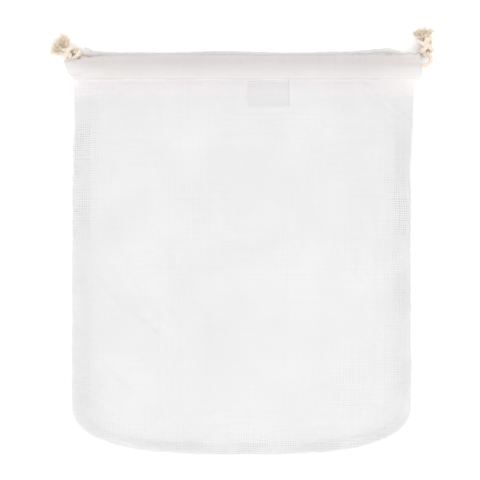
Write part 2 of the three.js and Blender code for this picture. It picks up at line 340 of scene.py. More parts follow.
def cord_material(name, light, dark):
    """Unbleached cotton strand with slanting yarns and darker flecks of seed husk."""
    nodes = Nodes(name)
    place = nodes.objects()
    uv = nodes.add("ShaderNodeTexCoord").outputs["UV"]
    parts = nodes.split(uv)
    slant = nodes.math("ADD", nodes.math("MULTIPLY", parts[0], 900.0), parts[1])
    turns = nodes.math("MULTIPLY", slant, 3 * math.pi)
    yarns = nodes.math("ABSOLUTE", nodes.math("SINE", turns, 0.0), 0.0)
    fibre = nodes.noise(2600.0, 5.0, place)
    fleck = nodes.noise(900.0, 2.0, place)
    height = nodes.math("ADD", yarns, nodes.math("MULTIPLY", fibre, 0.7))
    # Painted shade: the grooves between the slanting yarns are darker than their crowns; the fibre
    # noise adds a random tone of the cotton.
    base = nodes.ramp(height, [(0.25, dark), (1.1, light)])
    flecks = nodes.ramp(fleck, [(0.2, (0.78, 0.7, 0.62)), (0.36, (1, 1, 1))])
    nodes.bump(height, 0.7, 0.00016)
    rough = roughness_from(nodes, fibre, 0.85, 1.0)
    return nodes.finish(nodes.multiplied(base, flecks), rough, 0.35)


def floor_material():
    nodes = Nodes("pale_floor")
    cloud = nodes.noise(3.0, 2.0, nodes.objects())
    color = nodes.ramp(cloud, [(0.0, (0.975, 0.975, 0.975)), (1.0, (0.99, 0.99, 0.99))])
    return nodes.finish(color, 0.9)


# ---- mesh helpers ----

def make_piece(name, vertices, faces, material, uv):
    """A mesh object from arrays. faces is one array of corner indices, all of one size; uv is a row
    for each vertex."""
    mesh = bpy.data.meshes.new(name)
    mesh.from_pydata(np.asarray(vertices).tolist(), [], np.asarray(faces).tolist())
    layer = mesh.uv_layers.new(name="cloth")
    corners = np.zeros(len(mesh.loops), np.int32)
    mesh.loops.foreach_get("vertex_index", corners)
    layer.data.foreach_set("uv", np.asarray(uv, np.float32)[corners].ravel())
    mesh.materials.append(material)
    mesh.polygons.foreach_set("use_smooth", [True] * len(mesh.polygons))
    mesh.update()
    piece = bpy.data.objects.new(name, mesh)
    bpy.context.scene.collection.objects.link(piece)
    return piece


class Bundle:
    """Gathers many small quad meshes into one."""

    def __init__(self):
        self.vertices, self.faces, self.uv, self.count = [], [], [], 0

    def add(self, vertices, faces, uv):
        self.vertices.append(vertices)
        self.faces.append(np.asarray(faces) + self.count)
        self.uv.append(uv)
        self.count += len(vertices)

    def piece(self, name, material):
        return make_piece(
            name, np.concatenate(self.vertices), np.concatenate(self.faces), material,
            np.concatenate(self.uv),
        )


def grid_faces(rows, columns, wrap=False):
    """Quads between the points of a rows x columns grid, joined round in columns if wrap."""
    row = np.arange(rows - 1)[:, None]
    column = np.arange(columns if wrap else columns - 1)[None, :]
    following = (column + 1) % columns
    a, b = row * columns + column, row * columns + following
    c, d = b + columns, a + columns
    return np.stack([a, b, c, d], -1).reshape(-1, 4)


def unit(vectors):
    return vectors / np.maximum(np.linalg.norm(vectors, axis=-1, keepdims=True), 1e-12)


def spline(points, step):
    """A smooth line through points (millimetres), resampled every step, in metres."""
    points = np.asarray(points, float) * MM
    before, after = 2 * points[0] - points[1], 2 * points[-1] - points[-2]
    full = np.concatenate([[before], points, [after]])
    fine = []
    for a, b, c, d in zip(full, full[1:], full[2:], full[3:]):
        gaps = [np.linalg.norm(q - p) ** 0.5 for p, q in ((a, b), (b, c), (c, d))]
        knots = np.cumsum([0] + gaps)
        t = np.linspace(knots[1], knots[2], 12, endpoint=False)[:, None]

        def between(i, j, p, q):
            gap = knots[j] - knots[i]
            return (knots[j] - t) / gap * p + (t - knots[i]) / gap * q

        ab, bc, cd = between(0, 1, a, b), between(1, 2, b, c), between(2, 3, c, d)
        fine.append(between(1, 2, between(0, 2, ab, bc), between(1, 3, bc, cd)))
    fine = np.concatenate(fine + [points[-1:]])
    return resample(fine, step)


def distances(line):
    """How far along a line each of its points is."""
    return np.concatenate([[0], np.cumsum(np.linalg.norm(np.diff(line, axis=0), axis=1))])


def line_length(line):
    return float(np.linalg.norm(np.diff(line, axis=0), axis=1).sum())


def points_at(places, along, points):
    """The points at places along a line whose own points lie at along."""
    return np.stack([np.interp(places, along, points[:, i]) for i in range(3)], -1)


def resample(line, step):
    length = distances(line)
    count = max(2, int(round(length[-1] / step)) + 1)
    places = np.linspace(0, length[-1], count)
    return points_at(places, length, line)


def frames_along(line):
    """Tangents and two cross directions that turn as little as possible along a line."""
    tangents = unit(np.gradient(line, axis=0))
    first = np.cross(tangents[0], (0.0, 0.0, 1.0))
    if np.linalg.norm(first) < 0.1:
        first = np.cross(tangents[0], (0.0, 1.0, 0.0))
    side = [unit(first)]
    for tangent in tangents[1:]:
        carried = side[-1] - tangent * np.dot(side[-1], tangent)
        side.append(unit(carried))
    side = np.array(side)
    return tangents, side, np.cross(tangents, side)


def sweep(bundle, line, radii, sides):
    """Adds a closed-ended tube along a line. radii is one number or one for each point."""
    _, across, up = frames_along(line)
    radii = np.broadcast_to(np.asarray(radii, float), (len(line),)).copy()
    angle = np.linspace(0, 2 * math.pi, sides, endpoint=False)
    cos, sin = np.cos(angle)[None, :, None], np.sin(angle)[None, :, None]
    ring = across[:, None] * cos + up[:, None] * sin
    vertices = line[:, None] + ring * radii[:, None, None]
    tips = np.repeat(line[[0, -1]][:, None], sides, axis=1)
    vertices = np.concatenate([tips[:1], vertices, tips[1:]])
    length = distances(line)
    along = np.concatenate([length[:1], length, length[-1:]])
    uv = np.stack(np.broadcast_arrays(along[:, None], (angle / (2 * math.pi))[None, :]), -1)
    faces = grid_faces(len(line) + 2, sides, wrap=True)
    bundle.add(vertices.reshape(-1, 3), faces, uv.reshape(-1, 2))


def rope(bundle, line, diameter, lay, phase=0.0):
    """Adds three strands twisted round a line."""
    _, across, up = frames_along(line)
    length = distances(line)
    for strand in range(3):
        turn = 2 * math.pi * (length / lay + strand / 3) + phase
        offset = across * np.cos(turn)[:, None] + up * np.sin(turn)[:, None]
        sweep(bundle, line + offset * (0.27 * diameter), 0.285 * diameter, 8)


# ---- the bag's outline and surfaces ----

def mouth_shift(y):
    return MOUTH_SHIFT * (np.maximum(0, y) / BACK_HIGH.y) ** 2


def bottom_edge(across):
    depth = np.maximum(0, 1 - np.abs(across) ** POWER_ACROSS) ** (1 / POWER_DOWN)
    return CORNER_Y - BOTTOM_DEPTH * depth


def width_share(y):
    """The cloth's share of its full width at a height, 0 at the bottom and 1 on straight sides."""
    down = np.clip((CORNER_Y - y) / BOTTOM_DEPTH, 0, 1)
    return (1 - down ** POWER_DOWN) ** (1 / POWER_ACROSS)


def seam_point(angle, inset):
    """A point of the bottom seam moved into the bag, by angle from the right corner to the left."""
    def on_seam(a):
        across = np.sign(np.cos(a)) * np.abs(np.cos(a)) ** (2 / POWER_ACROSS)
        down = np.sin(a) ** (2 / POWER_DOWN)
        return np.stack([HALF_WIDTH * across, CORNER_Y - BOTTOM_DEPTH * down], -1)
    along = unit(on_seam(angle + 0.01) - on_seam(angle - 0.01))
    return on_seam(angle) + inset * np.stack([along[..., 1], -along[..., 0]], -1)


class CadFace:
    """The height of one face of a CAD node above any place on the table."""

    def __init__(self, node, from_above):
        mesh = frame["nodes"][node].data
        points = [v.co for v in mesh.vertices]
        self.tree = BVHTree.FromPolygons(points, [tuple(p.vertices) for p in mesh.polygons])
        self.start, self.down = (1.0, -1.0) if from_above else (-1.0, 1.0)

    def height(self, x, y, fallback):
        hit = self.tree.ray_cast(Vector((x, y, self.start)), Vector((0, 0, self.down)))[0]
        return fallback if hit is None else hit.z


def eased(along):
    """Shares of the height, with the grid's rows drawn closer together at both ends."""
    return along - EASED * np.sin(2 * math.pi * along)


class Surface:
    """A panel's cloth as a grid of points, which any place on the flat bag can be looked up in."""

    def __init__(self, top_y, node, from_above, lift):
        self.top_y = top_y
        across = np.sin(np.linspace(-1, 1, GRID_COLUMNS) * math.pi / 2)
        along = eased(np.linspace(0, 1, GRID_ROWS))
        u, v = np.meshgrid(across, along)
        low = bottom_edge(u)
        y = low + (top_y - low) * v
        x = u * HALF_WIDTH + mouth_shift(y)
        face = CadFace(node, from_above)
        z = np.zeros_like(x)
        inward = 0.9985
        for i in range(GRID_ROWS):
            for j in range(GRID_COLUMNS):
                z[i, j] = face.height(x[i, j] * inward, y[i, j] * inward, np.nan)
            known = ~np.isnan(z[i])
            z[i] = np.interp(np.arange(GRID_COLUMNS), np.flatnonzero(known), z[i][known])
        self.rest = np.stack([x, y, z + lift], -1)
        self.points = self.rest.copy()

    def at(self, x, y):
        """Where the cloth's flat place (x, y) lies."""
        u = np.clip((x - mouth_shift(y)) / HALF_WIDTH, -1, 1)
        low = bottom_edge(u)
        v = np.clip((y - low) / np.maximum(self.top_y - low, 1e-6), 0, 1)
        table = np.linspace(0, 1, 400)
        row = np.interp(v, eased(table), table) * (GRID_ROWS - 1)
        column = (np.arcsin(u) * 2 / math.pi + 1) / 2 * (GRID_COLUMNS - 1)
        i = np.clip(row.astype(int), 0, GRID_ROWS - 2)
        j = np.clip(column.astype(int), 0, GRID_COLUMNS - 2)
        a, b = (row - i)[..., None], (column - j)[..., None]
        p = self.points
        low_row = p[i, j] * (1 - b) + p[i, j + 1] * b
        high_row = p[i + 1, j] * (1 - b) + p[i + 1, j + 1] * b
        return low_row * (1 - a) + high_row * a


# Creases pressed into the cloth: start, end, height and width, all in millimetres.
CREASES = [
    ((-131, -8), (-70, -62), 1.5, 5),
    ((-127, -80), (-80, -120), 1.3, 5),
    ((14, -124), (82, -101), 1.2, 7),
    ((-136, 143), (-92, 150), 0.8, 4),
    ((118, 148), (141, 122), 1.2, 5),
    ((-60, 20), (30, -30), 0.5, 14),
    ((40, 60), (110, 20), 0.5, 12),
    ((-150, 0), (-128, -12), 1.0, 5),
]


def crease_height(x, y):
    height = np.zeros_like(x)
    for start, end, rise, width in CREASES:
        a, b = np.array(start) * MM, np.array(end) * MM
        along = b - a
        share = np.clip(((x - a[0]) * along[0] + (y - a[1]) * along[1]) / (along @ along), 0, 1)
        bow = 4 * MM * np.sin(math.pi * share)
        off = (x - a[0] - share * along[0]) * along[1] - (y - a[1] - share * along[1]) * along[0]
        off = off / np.linalg.norm(along) - bow
        beyond = np.hypot(x - a[0] - share * along[0], y - a[1] - share * along[1])
        near = np.exp(-((beyond / (3 * width * MM)) ** 2))
        dip = np.exp(-(((off - 1.6 * width * MM) / (1.3 * width * MM)) ** 2))
        ridge = np.exp(-((off / (width * MM)) ** 2)) - 0.45 * dip
        height += rise * MM * ridge * near * np.sin(math.pi * np.clip(0.1 + 0.8 * share, 0, 1))
    return height


def settle(surface, name, seed):
    """Grows the cloth a little against its held seams, so that it buckles into soft wrinkles."""
    rng = np.random.default_rng(seed)
    start = surface.rest.copy()
    for _ in range(14):
        direction = rng.uniform(0, math.pi)
        length = rng.uniform(40, 120) * MM
        phase = rng.uniform(0, 2 * math.pi)
        wave = start[..., 0] * math.cos(direction) + start[..., 1] * math.sin(direction)
        start[..., 2] += 0.12 * MM * np.sin(2 * math.pi * wave / length + phase)
    start[..., 2] += 0.6 * crease_height(start[..., 0], start[..., 1])
    faces = grid_faces(GRID_ROWS, GRID_COLUMNS)
    mesh = bpy.data.meshes.new(name)
    mesh.from_pydata(start.reshape(-1, 3).tolist(), [], faces.tolist())
    cloth_object = bpy.data.objects.new(name, mesh)
    bpy.context.scene.collection.objects.link(cloth_object)
    row, column = np.indices((GRID_ROWS, GRID_COLUMNS))
    edge = np.minimum.reduce([row, column, GRID_ROWS - 1 - row, GRID_COLUMNS - 1 - column])
    held = cloth_object.vertex_groups.new(name="held")
    held.add(np.flatnonzero(edge.ravel() < 1).tolist(), 1.0, "REPLACE")
    cloth = cloth_object.modifiers.new("cloth", "CLOTH")
    settings = cloth.settings
    settings.quality = 6
    settings.mass = 0.12
    settings.tension_stiffness = 20
    settings.compression_stiffness = 20
    settings.shear_stiffness = 8
    settings.bending_stiffness = 0.02
    settings.shrink_min = -0.012
    settings.vertex_group_mass = "held"
    settings.effector_weights.gravity = 0
    cloth.collision_settings.use_collision = False
    scene = bpy.context.scene
    last = 24
    cloth.point_cache.frame_end = last
    for number in range(1, last + 1):
        scene.frame_set(number)
    ready = cloth_object.evaluated_get(bpy.context.evaluated_depsgraph_get())
    points = np.zeros(start.size)
    ready.data.vertices.foreach_get("co", points)
    bpy.data.objects.remove(cloth_object)
    scene.frame_set(1)
    return points.reshape(start.shape) - surface.rest


def shape_panels():
    """The front cloth settled by simulation, and the back one rippled a little after it."""
    front = Surface(FRONT_HIGH.y, "front_panel", True, -0.4 * MM)
    back = Surface(BACK_HIGH.y, "back_panel", False, 0.45 * MM)
    x, y = front.rest[..., 0], front.rest[..., 1]
    moved = np.zeros_like(front.rest)
    moved = settle(front, "front_cloth", SEED)
    size = np.linalg.norm(moved, axis=-1, keepdims=True)
    moved *= np.minimum(1, MAX_SHIFT / np.maximum(size, 1e-9))
    front.points = front.rest + moved
    front.points[..., 2] += 2 * crease_height(x, y)
    from_edge = np.minimum(HALF_WIDTH - np.abs(back.rest[..., 0]), back.rest[..., 1] - BACK_LOW.y)
    calm = np.clip(from_edge / (20 * MM), 0, 1)
    ripples = np.abs(moved[::-1, ::-1, 2]) * 0.35
    back.points[..., 2] += calm * np.minimum(ripples, 0.5 * MM)
    return front, back


# ---- woven net ----

def ribbon(bundle, spots, side, normal, crown, width=YARN_WIDTH):
    """Adds one yarn: a strip three points wide whose middle stands up by crown."""
    half, low = side * (width / 2), normal * crown
    vertices = np.stack([spots - half - low, spots, spots + half - low], 1)
    length = distances(spots)
    uv = np.stack(np.broadcast_arrays(length[:, None], np.array([0, 0.5, 1])[None, :] * width), -1)
    bundle.add(vertices.reshape(-1, 3), grid_faces(len(spots), 3), uv.reshape(-1, 2))


def laid(place, a, b):
    """Points of the cloth with the directions of its columns and rows and its normal."""
    step = 0.5 * MM
    across = unit(place(a + step, b) - place(a - step, b))
    along = unit(place(a, b + step) - place(a, b - step))
    return place(a, b), across, along, unit(np.cross(across, along))


def weave(
    bundle, place, columns, rows, column_runs, row_runs,
    outward=1.0, over=YARN_WEAVE, width=YARN_WIDTH,
):
    """Weaves yarns that pass over and under each other at every crossing of columns and rows.
    place(a, b) lays flat cloth in space; the runs say where along it each yarn lies."""
    for kind, places, crossings, runs in (
        ("column", columns, rows, column_runs), ("row", rows, columns, row_runs),
    ):
        for number, spot in enumerate(places):
            for start, end in runs(spot):
                inner = np.flatnonzero((crossings > start) & (crossings < end))
                if len(inner) < 2:
                    continue
                run = np.concatenate([[start], crossings[inner], [end]])
                sign = np.where((inner + number) % 2 == 0, 1.0, -1.0)
                sign = np.concatenate([[0], sign, [0]]) * (1 if kind == "column" else -1)
                fixed = np.full(len(run), spot)
                a, b = (fixed, run) if kind == "column" else (run, fixed)
                spots, across, along, normal = laid(place, a, b)
                side = across if kind == "column" else -along
                spots = spots + normal * (sign * over)[:, None]
                ribbon(bundle, spots, side, normal * outward, YARN_CROWN, width)


def yarn_places(first, last, rng, pitch=YARN_PITCH):
    places = np.arange(first + pitch / 2, last, pitch)
    return places + rng.uniform(-0.1, 0.1, len(places)) * pitch


def wandering(place, wander):
    """The same cloth with its yarns drawn a little out of true."""
    def moved(a, b):
        off_a = np.sin(b * 95 + 2 * np.sin(a * 31)) + 0.6 * np.sin(b * 230 + a * 40)
        off_b = np.sin(a * 105 + 2 * np.sin(b * 27)) + 0.6 * np.sin(a * 250 - b * 35)
        return place(a + wander * off_a, b + wander * off_b)
    return moved


# ---- casings ----

# The fold's section as (height from the hem edge, depth outward from the middle), in millimetres:
# up the outer ply, over the fold, and down the inner ply.
OUTER_PLY = [(-0.9, -1.45), (1.5, -0.7), (5, 0.15), (8, 1.0), (10.2, 2.0), (12.6, 2.62), (15, 2.5),
             (17.4, 2.62), (19.4, 1.95), (20.6, 0.9), (20.9, 0)]
INNER_PLY = [(20.6, -0.9), (19.4, -1.9), (17.4, -2.5), (15, -2.35), (12.6, -2.6), (10.2, -2.4),
             (8, -1.7), (5, -1.4), (1.2, -1.3)]
TURNED_PLY = [(1.3, -0.95), (3, -0.75), (6, -0.45), (8.6, -0.2)]


def smooth_step(x, low, high):
    t = np.clip((x - low) / (high - low), 0, 1)
    return t * t * (3 - 2 * t)


def gathers(x, seed):
    """Small uneven puckers where a cord has been drawn through cloth, from about -1 to 1."""
    return (
        0.5 * np.sin(x * 520 + seed) + 0.35 * np.sin(x * 811 + 2.1 * seed + np.sin(x * 90))
        + 0.4 * np.sin(x * 233 + 0.7 * seed)
    )


def bumps(x, places):
    """A sum of soft bumps along x, each (middle, half width, height) in millimetres."""
    return sum(h * MM * np.exp(-(((x / MM - middle) / half) ** 2)) for middle, half, h in places)


FRONT_LIFTS = [(150, 16, 1.5), (105, 22, 0.6), (-60, 30, 0.5), (20, 40, -0.4)]
BACK_LIFTS = [(122, 17, 2.0), (141, 5, -2.5), (-136.5, 4.6, 2.0), (-112, 10, -0.8), (-15, 34, 1.7),
              (80, 25, 0.7)]


class Casing:
    """A folded hem. at(x, s) is the place s metres along its section from the outer hem edge."""

    def __init__(self, section, front):
        line = resample(spline([(h, d, 0) for h, d in section], 0.25 * MM), 0.25 * MM)
        self.length = line_length(line)
        self.line = line
        self.front = front

    def at(self, x, s):
        places = np.linspace(0, self.length, len(self.line))
        height = np.interp(s, places, self.line[:, 0])
        depth = np.interp(s, places, self.line[:, 1])
        loose = smooth_step(height, 3 * MM, 12 * MM)
        if self.front:
            open_end = smooth_step(-x, 136 * MM, 142 * MM)
            depth = depth * (1 - open_end) + np.maximum(depth, -0.1 * MM) * open_end
        share = height / (CASING_HEIGHT * MM)
        if self.front:
            droop = 8 * MM * np.clip((-x / MM - 110) / 45, 0, None) ** 1.6
            y = FRONT_CASING_Y * MM + height - droop * smooth_step(height, 0, 10 * MM)
            y = y + bumps(x, FRONT_LIFTS) * share ** 2 * (height > 0)
            z = (FRONT_CASING_Z - FRONT_CASING_SAG * (x / HALF_WIDTH) ** 2) * MM
            z = z + 0.9 * MM * smooth_step(-x, 128 * MM, 142 * MM) * loose
            pucker = gathers(x, 1.0)
            left = -8.2 * MM * np.clip(share, 0, 1)
            right = 2.4 * MM * np.sin(np.clip(share * 1.6, 0, 1) * math.pi)
            x = x + left * np.clip((-x / MM - 106) / 40, 0, 1) ** 2
            x = x + right * np.clip((x / MM - 126) / 30, 0, 1) ** 2
            facing = 1.0
        else:
            rise = 3 * MM * (np.clip(np.abs(x) / MM - 60, 0, None) / 85) ** 2
            y = BACK_CASING_Y * MM + height + rise * smooth_step(height, 0, 10 * MM)
            y = y + bumps(x, BACK_LIFTS) * np.clip(share, 0, 1) ** 1.5
            z = BACK_CASING_Z * MM - (1 - loose) * 1.9 * MM
            pucker = gathers(x, 4.0)
            facing = -1.0
        near_end = 1 + 1.6 * smooth_step(np.abs(x), 85 * MM, 140 * MM)
        y = y + (0.26 * MM) * pucker * near_end * np.clip(share, 0, 1)
        swell = 1 + 0.08 * np.maximum(0, 0.6 + pucker) * near_end * loose
        if not self.front:
            turn = smooth_step(x, 121 * MM, 136 * MM) + 0.6 * smooth_step(-x, 126 * MM, 137 * MM)
            swell = swell + 0.75 * turn * (depth < 0)
        z = z + facing * depth * swell + 0.12 * MM * pucker * (1 - loose) * self.front
        return np.stack([x, y, np.maximum(z, 0.15 * MM)], -1)


def fixed_run(start, end):
    return lambda _: [(start, end)]


def make_casing(name, front, ends, inner_ends, cloth, seed):
    """Weaves the outer ply and the fold along the whole casing, and the mouth's own ply up to where
    the cords come out, with its turned-in edge behind the row of stitches."""
    rng = np.random.default_rng(seed)
    reach = 2 if front else 4
    fold = Casing(OUTER_PLY + INNER_PLY[:reach], front)
    bundle = Bundle()
    outward = 1.0 if front else -1.0
    left, right = ends[0] * MM, ends[1] * MM
    columns = yarn_places(left, right, rng, HEM_PITCH)
    rows = yarn_places(0, fold.length, rng, HEM_PITCH)
    weave(
        bundle, fold.at, columns, rows, fixed_run(0, fold.length), fixed_run(left, right), outward,
        YARN_WEAVE, HEM_WIDTH,
    )
    edge = np.linspace(0, fold.length, 60)
    for side in (left, right):
        for inset in (0.2, 0.9):
            a = np.full(60, side + (inset * MM if side < 0 else -inset * MM))
            spots, across, _, normal = laid(fold.at, a, edge)
            ribbon(bundle, spots, across, normal * outward, YARN_CROWN, 1.1 * YARN_WIDTH)
    inner_left, inner_right = inner_ends[0] * MM, inner_ends[1] * MM
    columns = yarn_places(inner_left, inner_right, rng, HEM_PITCH)
    plies = 0
    for section in (INNER_PLY[reach - 1:], TURNED_PLY):
        ply = Casing(section, front)
        plies += ply.length
        rows = yarn_places(0, ply.length, rng, HEM_PITCH)
        weave(
            bundle, ply.at, columns, rows, fixed_run(0, ply.length),
            fixed_run(inner_left, inner_right), outward, YARN_WEAVE, HEM_WIDTH,
        )
    piece = finish_piece(bundle, f"{name}_fold", name, cloth, "casing_cloth")
    return fold


# ---- stitches, allowances and label ----

def stitch_row(bundle, line, length, radius, rise, gap=0.28):
    """Adds a row of lockstitches: short arched threads with a small gap between them."""
    fine = resample(line, 0.4 * MM)
    total = line_length(fine)
    along = np.linspace(0, total, len(fine))
    count = max(1, int(total / length))
    for number in range(count):
        start = number * total / count
        end = start + total / count * (1 - gap)
        places = np.linspace(start, end, 6)
        spots = points_at(places, along, fine)
        spots[:, 2] += rise * np.sin(np.linspace(0, math.pi, 6)) - 0.1 * MM
        sweep(bundle, spots, np.array([0.5, 1, 1, 1, 1, 0.5]) * radius, 6)


def overlock(bundle, line, inward, width, loop):
    """Adds two threads that zigzag over a raw edge, half a turn apart."""
    fine = resample(line, 0.5 * MM)
    total = line_length(fine)
    along = np.linspace(0, total, len(fine))
    side = np.cross(unit(np.gradient(fine, axis=0)), (0.0, 0.0, 1.0)) * inward
    steps = int(total / loop * 8)
    places = np.linspace(0, total, steps)
    phase = 2 * math.pi * places / loop
    for turn, z_low, z_high in ((0.0, 1.0, 1.85), (math.pi, 0.95, 1.75)):
        out = width * (0.5 + 0.5 * np.sin(phase + turn))
        middle, across = points_at(places, along, fine), points_at(places, along, side)
        spots = middle + across * (out - 0.1 * width)[:, None]
        spots[:, 2] = MM * (0.5 * (z_low + z_high) + 0.5 * (z_high - z_low) * np.cos(phase + turn))
        sweep(bundle, spots, 0.17 * MM, 4)


def seam_line(inset, count=160):
    """The bottom seam at one inset, from the left corner to the right one."""
    angle = np.linspace(math.radians(172), math.radians(8), count)
    flat = seam_point(angle, inset)
    return np.concatenate([flat, np.full((count, 1), 1.3 * MM)], 1)


def side_line(side, inset):
    """One side seam at an inset, from the bottom corner up."""
    y = np.linspace(CORNER_Y - 1 * MM, SIDE_TOP_Y, 60)
    return np.stack([side * (HALF_WIDTH - inset) + mouth_shift(y), y, np.full(60, 1.3 * MM)], -1)


def runs_where(inside, low, high):
    """Where along a line from low to high inside(places) is true, as (start, end) pairs."""
    places = np.arange(low, high, 0.25 * MM)
    mask = np.concatenate([[False], inside(places), [False]])
    changes = np.flatnonzero(mask[1:] != mask[:-1])
    return [(places[a], places[b - 1]) for a, b in zip(changes[::2], changes[1::2])]


def seam_pieces(name, plies, edge, inward, seam, cloth, thread):
    """The pieces of one seam: its woven plies, the overlock over their edge, and the stitches."""
    loops, stitches = Bundle(), Bundle()
    overlock(loops, edge, inward, OVERLOCK_WIDTH, STITCH_LENGTH)
    stitch_row(stitches, seam, STITCH_LENGTH, SEAM_THREAD_RADIUS, 0.2 * MM)
    return [
        finish_piece(bundle, f"{name}_{piece}", f"{name}_{node}", material, slot)
        for bundle, piece, node, material, slot in (
            (plies, "allowance_net", "seam_allowance", cloth, "cotton_net"),
            (loops, "overlock_loops", "overlock_thread", thread, "sewing_thread"),
            (stitches, "seam_stitches", "seam_stitching", thread, "sewing_thread"),
        )
    ]


def make_allowances(cloth, thread):
    """Two plies of raw edge inside each seam, with their overlock and stitches."""
    rng = np.random.default_rng(41)
    pieces = []
    for name, side in (("left", -1), ("right", 1)):
        bundle = Bundle()
        inner, outer = HALF_WIDTH - SIDE_INSET[1], HALF_WIDTH - SIDE_INSET[0]
        low, high = sorted((side * inner, side * outer))
        for z in ALLOWANCE_Z:
            def place(a, b, z=z):
                wave = 0.1 * MM * np.sin(b * 260 + z * 9000)
                return np.stack([a + mouth_shift(b), b, z + wave], -1)
            weave(
                bundle, wandering(place, 0.15 * MM), yarn_places(low, high, rng),
                yarn_places(CORNER_Y, SIDE_TOP_Y, rng), fixed_run(CORNER_Y, SIDE_TOP_Y),
                fixed_run(low, high), 1.0, ALLOWANCE_WEAVE,
            )
        pieces += seam_pieces(
            name, bundle, side_line(side, SIDE_INSET[1]), side, side_line(side, STITCH_INSET),
            cloth, thread,
        )

    seam = seam_line(0, 700)[:, :2]

    def in_band(x, y):
        off = np.sqrt(((np.stack([x, y], -1)[:, None] - seam[None]) ** 2).sum(-1)).min(1)
        low = bottom_edge(np.clip(x / HALF_WIDTH, -1, 1))
        inside = (off > BOTTOM_INSET[0]) & (off < BOTTOM_INSET[1])
        return inside & (y > low) & (y < CORNER_Y + 1 * MM)

    def column_runs(x):
        return runs_where(lambda y: in_band(np.full(len(y), x), y), BACK_LOW.y, CORNER_Y + 1 * MM)

    def row_runs(y):
        return runs_where(lambda x: in_band(x, np.full(len(x), y)), -HALF_WIDTH, HALF_WIDTH)

    bundle = Bundle()
    for z in ALLOWANCE_Z:
        def place(a, b, z=z):
            wave = 0.1 * MM * np.sin(a * 240 + z * 9000)
            return np.stack([a, b, z + wave], -1)
        weave(
            bundle, place, yarn_places(-HALF_WIDTH, HALF_WIDTH, rng),
            yarn_places(BACK_LOW.y, CORNER_Y, rng), column_runs, row_runs, 1.0, ALLOWANCE_WEAVE,
        )
    return pieces + seam_pieces(
        "bottom", bundle, seam_line(BOTTOM_INSET[1]), 1, seam_line(STITCH_INSET), cloth, thread,
    )


def finish_piece(bundle, name, node, material, slot, body="bag"):
    piece = bundle.piece(name, material)
    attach(piece, body)
    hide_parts(node)
    return piece


def make_hem_stitches(fold_front, fold_back, thread):
    pieces = []
    for name, fold, left, right, facing in (
        ("front_casing", fold_front, -143, 152, 1), ("back_casing", fold_back, -133, 137, -1),
    ):
        x = np.linspace(left, right, 240) * MM
        line = fold.at(x, np.full(240, 2.4 * MM))
        line[:, 2] += facing * 0.3 * MM
        if facing < 0:
            line[:, 2] = 1.9 * MM
        bundle = Bundle()
        stitch_row(bundle, line, STITCH_LENGTH, 0.27 * MM, 0.22 * MM)
        pieces.append(finish_piece(
            bundle, f"{name}_topstitches", f"{name}_stitching", thread, "sewing_thread"
        ))
    return pieces


def make_label(tape):
    """A blank woven label: a tape doubled over, sewn in under the hem, with a slight curl."""
    low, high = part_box("inner_label")
    columns, rows = 40, 28
    u, v = np.meshgrid(np.linspace(0, 1, columns), np.linspace(0, 1, rows))
    x = low.x + (high.x - low.x) * u
    y = high.y - (high.y - low.y) * v
    curl = 0.35 * MM * v ** 2 * (1 + 0.6 * np.sin(u * 5)) + 0.06 * MM * np.sin(u * 19 + v * 4)
    top = high.z + curl
    under = low.z + 0.05 * MM + curl
    rim = np.minimum(np.minimum(u, 1 - u) * columns, (1 - v) * rows)
    pinch = 0.24 * MM * np.exp(-rim)
    upper = np.stack([x, y, top - pinch], -1)
    lower = np.stack([x, y, under + pinch], -1)
    bundle = Bundle()
    uv = np.stack([x, y], -1).reshape(-1, 2)
    faces = grid_faces(rows, columns)
    bundle.add(upper.reshape(-1, 3), faces[:, ::-1], uv)
    bundle.add(lower.reshape(-1, 3), faces, uv)
    ring = [(i, 0) for i in range(rows)] + [(rows - 1, j) for j in range(1, columns)]
    ring += [(i, columns - 1) for i in range(rows - 2, -1, -1)]
    ring += [(0, j) for j in range(columns - 2, 0, -1)]
    edge = np.array([[upper[r], lower[r]] for r in ring + ring[:1]])
    edge_uv = np.array([[(upper[r][0], upper[r][1])] * 2 for r in ring + ring[:1]])
    bundle.add(edge.reshape(-1, 3), grid_faces(len(ring) + 1, 2), edge_uv.reshape(-1, 2))
    piece = finish_piece(bundle, "blank_label", "inner_label", tape, "label_tape", "label")


# ---- pieces ----

def make_nets(front, back, yarn):
    """The two panels' cloth, with each panel's flat height and area."""
    made = []
    for name, surface, node, top_y, outward, seed in (
        ("front_net", front, "front_panel", FRONT_HIGH.y, 1.0, 21),
        ("back_net", back, "back_panel", BACK_HIGH.y, -1.0, 22),
    ):
        rng = np.random.default_rng(seed)
        bundle = Bundle()
        weave(
            bundle, wandering(surface.at, 0.22 * MM),
            yarn_places(-HALF_WIDTH, HALF_WIDTH + MOUTH_SHIFT, rng),
            yarn_places(BACK_LOW.y, top_y, rng), *panel_runs(top_y), outward,
        )
        for inset in (0.25 * MM, 0.85 * MM):
            line = outline(inset, top_y)
            spots = surface.at(line[:, 0], line[:, 1])
            across = np.cross(unit(np.gradient(spots, axis=0)), (0.0, 0.0, 1.0))
            normal = np.tile([0.0, 0.0, outward], (len(spots), 1))
            ribbon(bundle, spots, across, normal, YARN_CROWN, 1.15 * YARN_WIDTH)
        piece = finish_piece(bundle, name, node, yarn, "cotton_net")
        sample = np.linspace(-1, 1, 400)
        height = top_y - float(bottom_edge(0.0))
        area = 2 * HALF_WIDTH * float(np.mean(top_y - bottom_edge(sample)))
        made.append((piece, height, area))
    return made


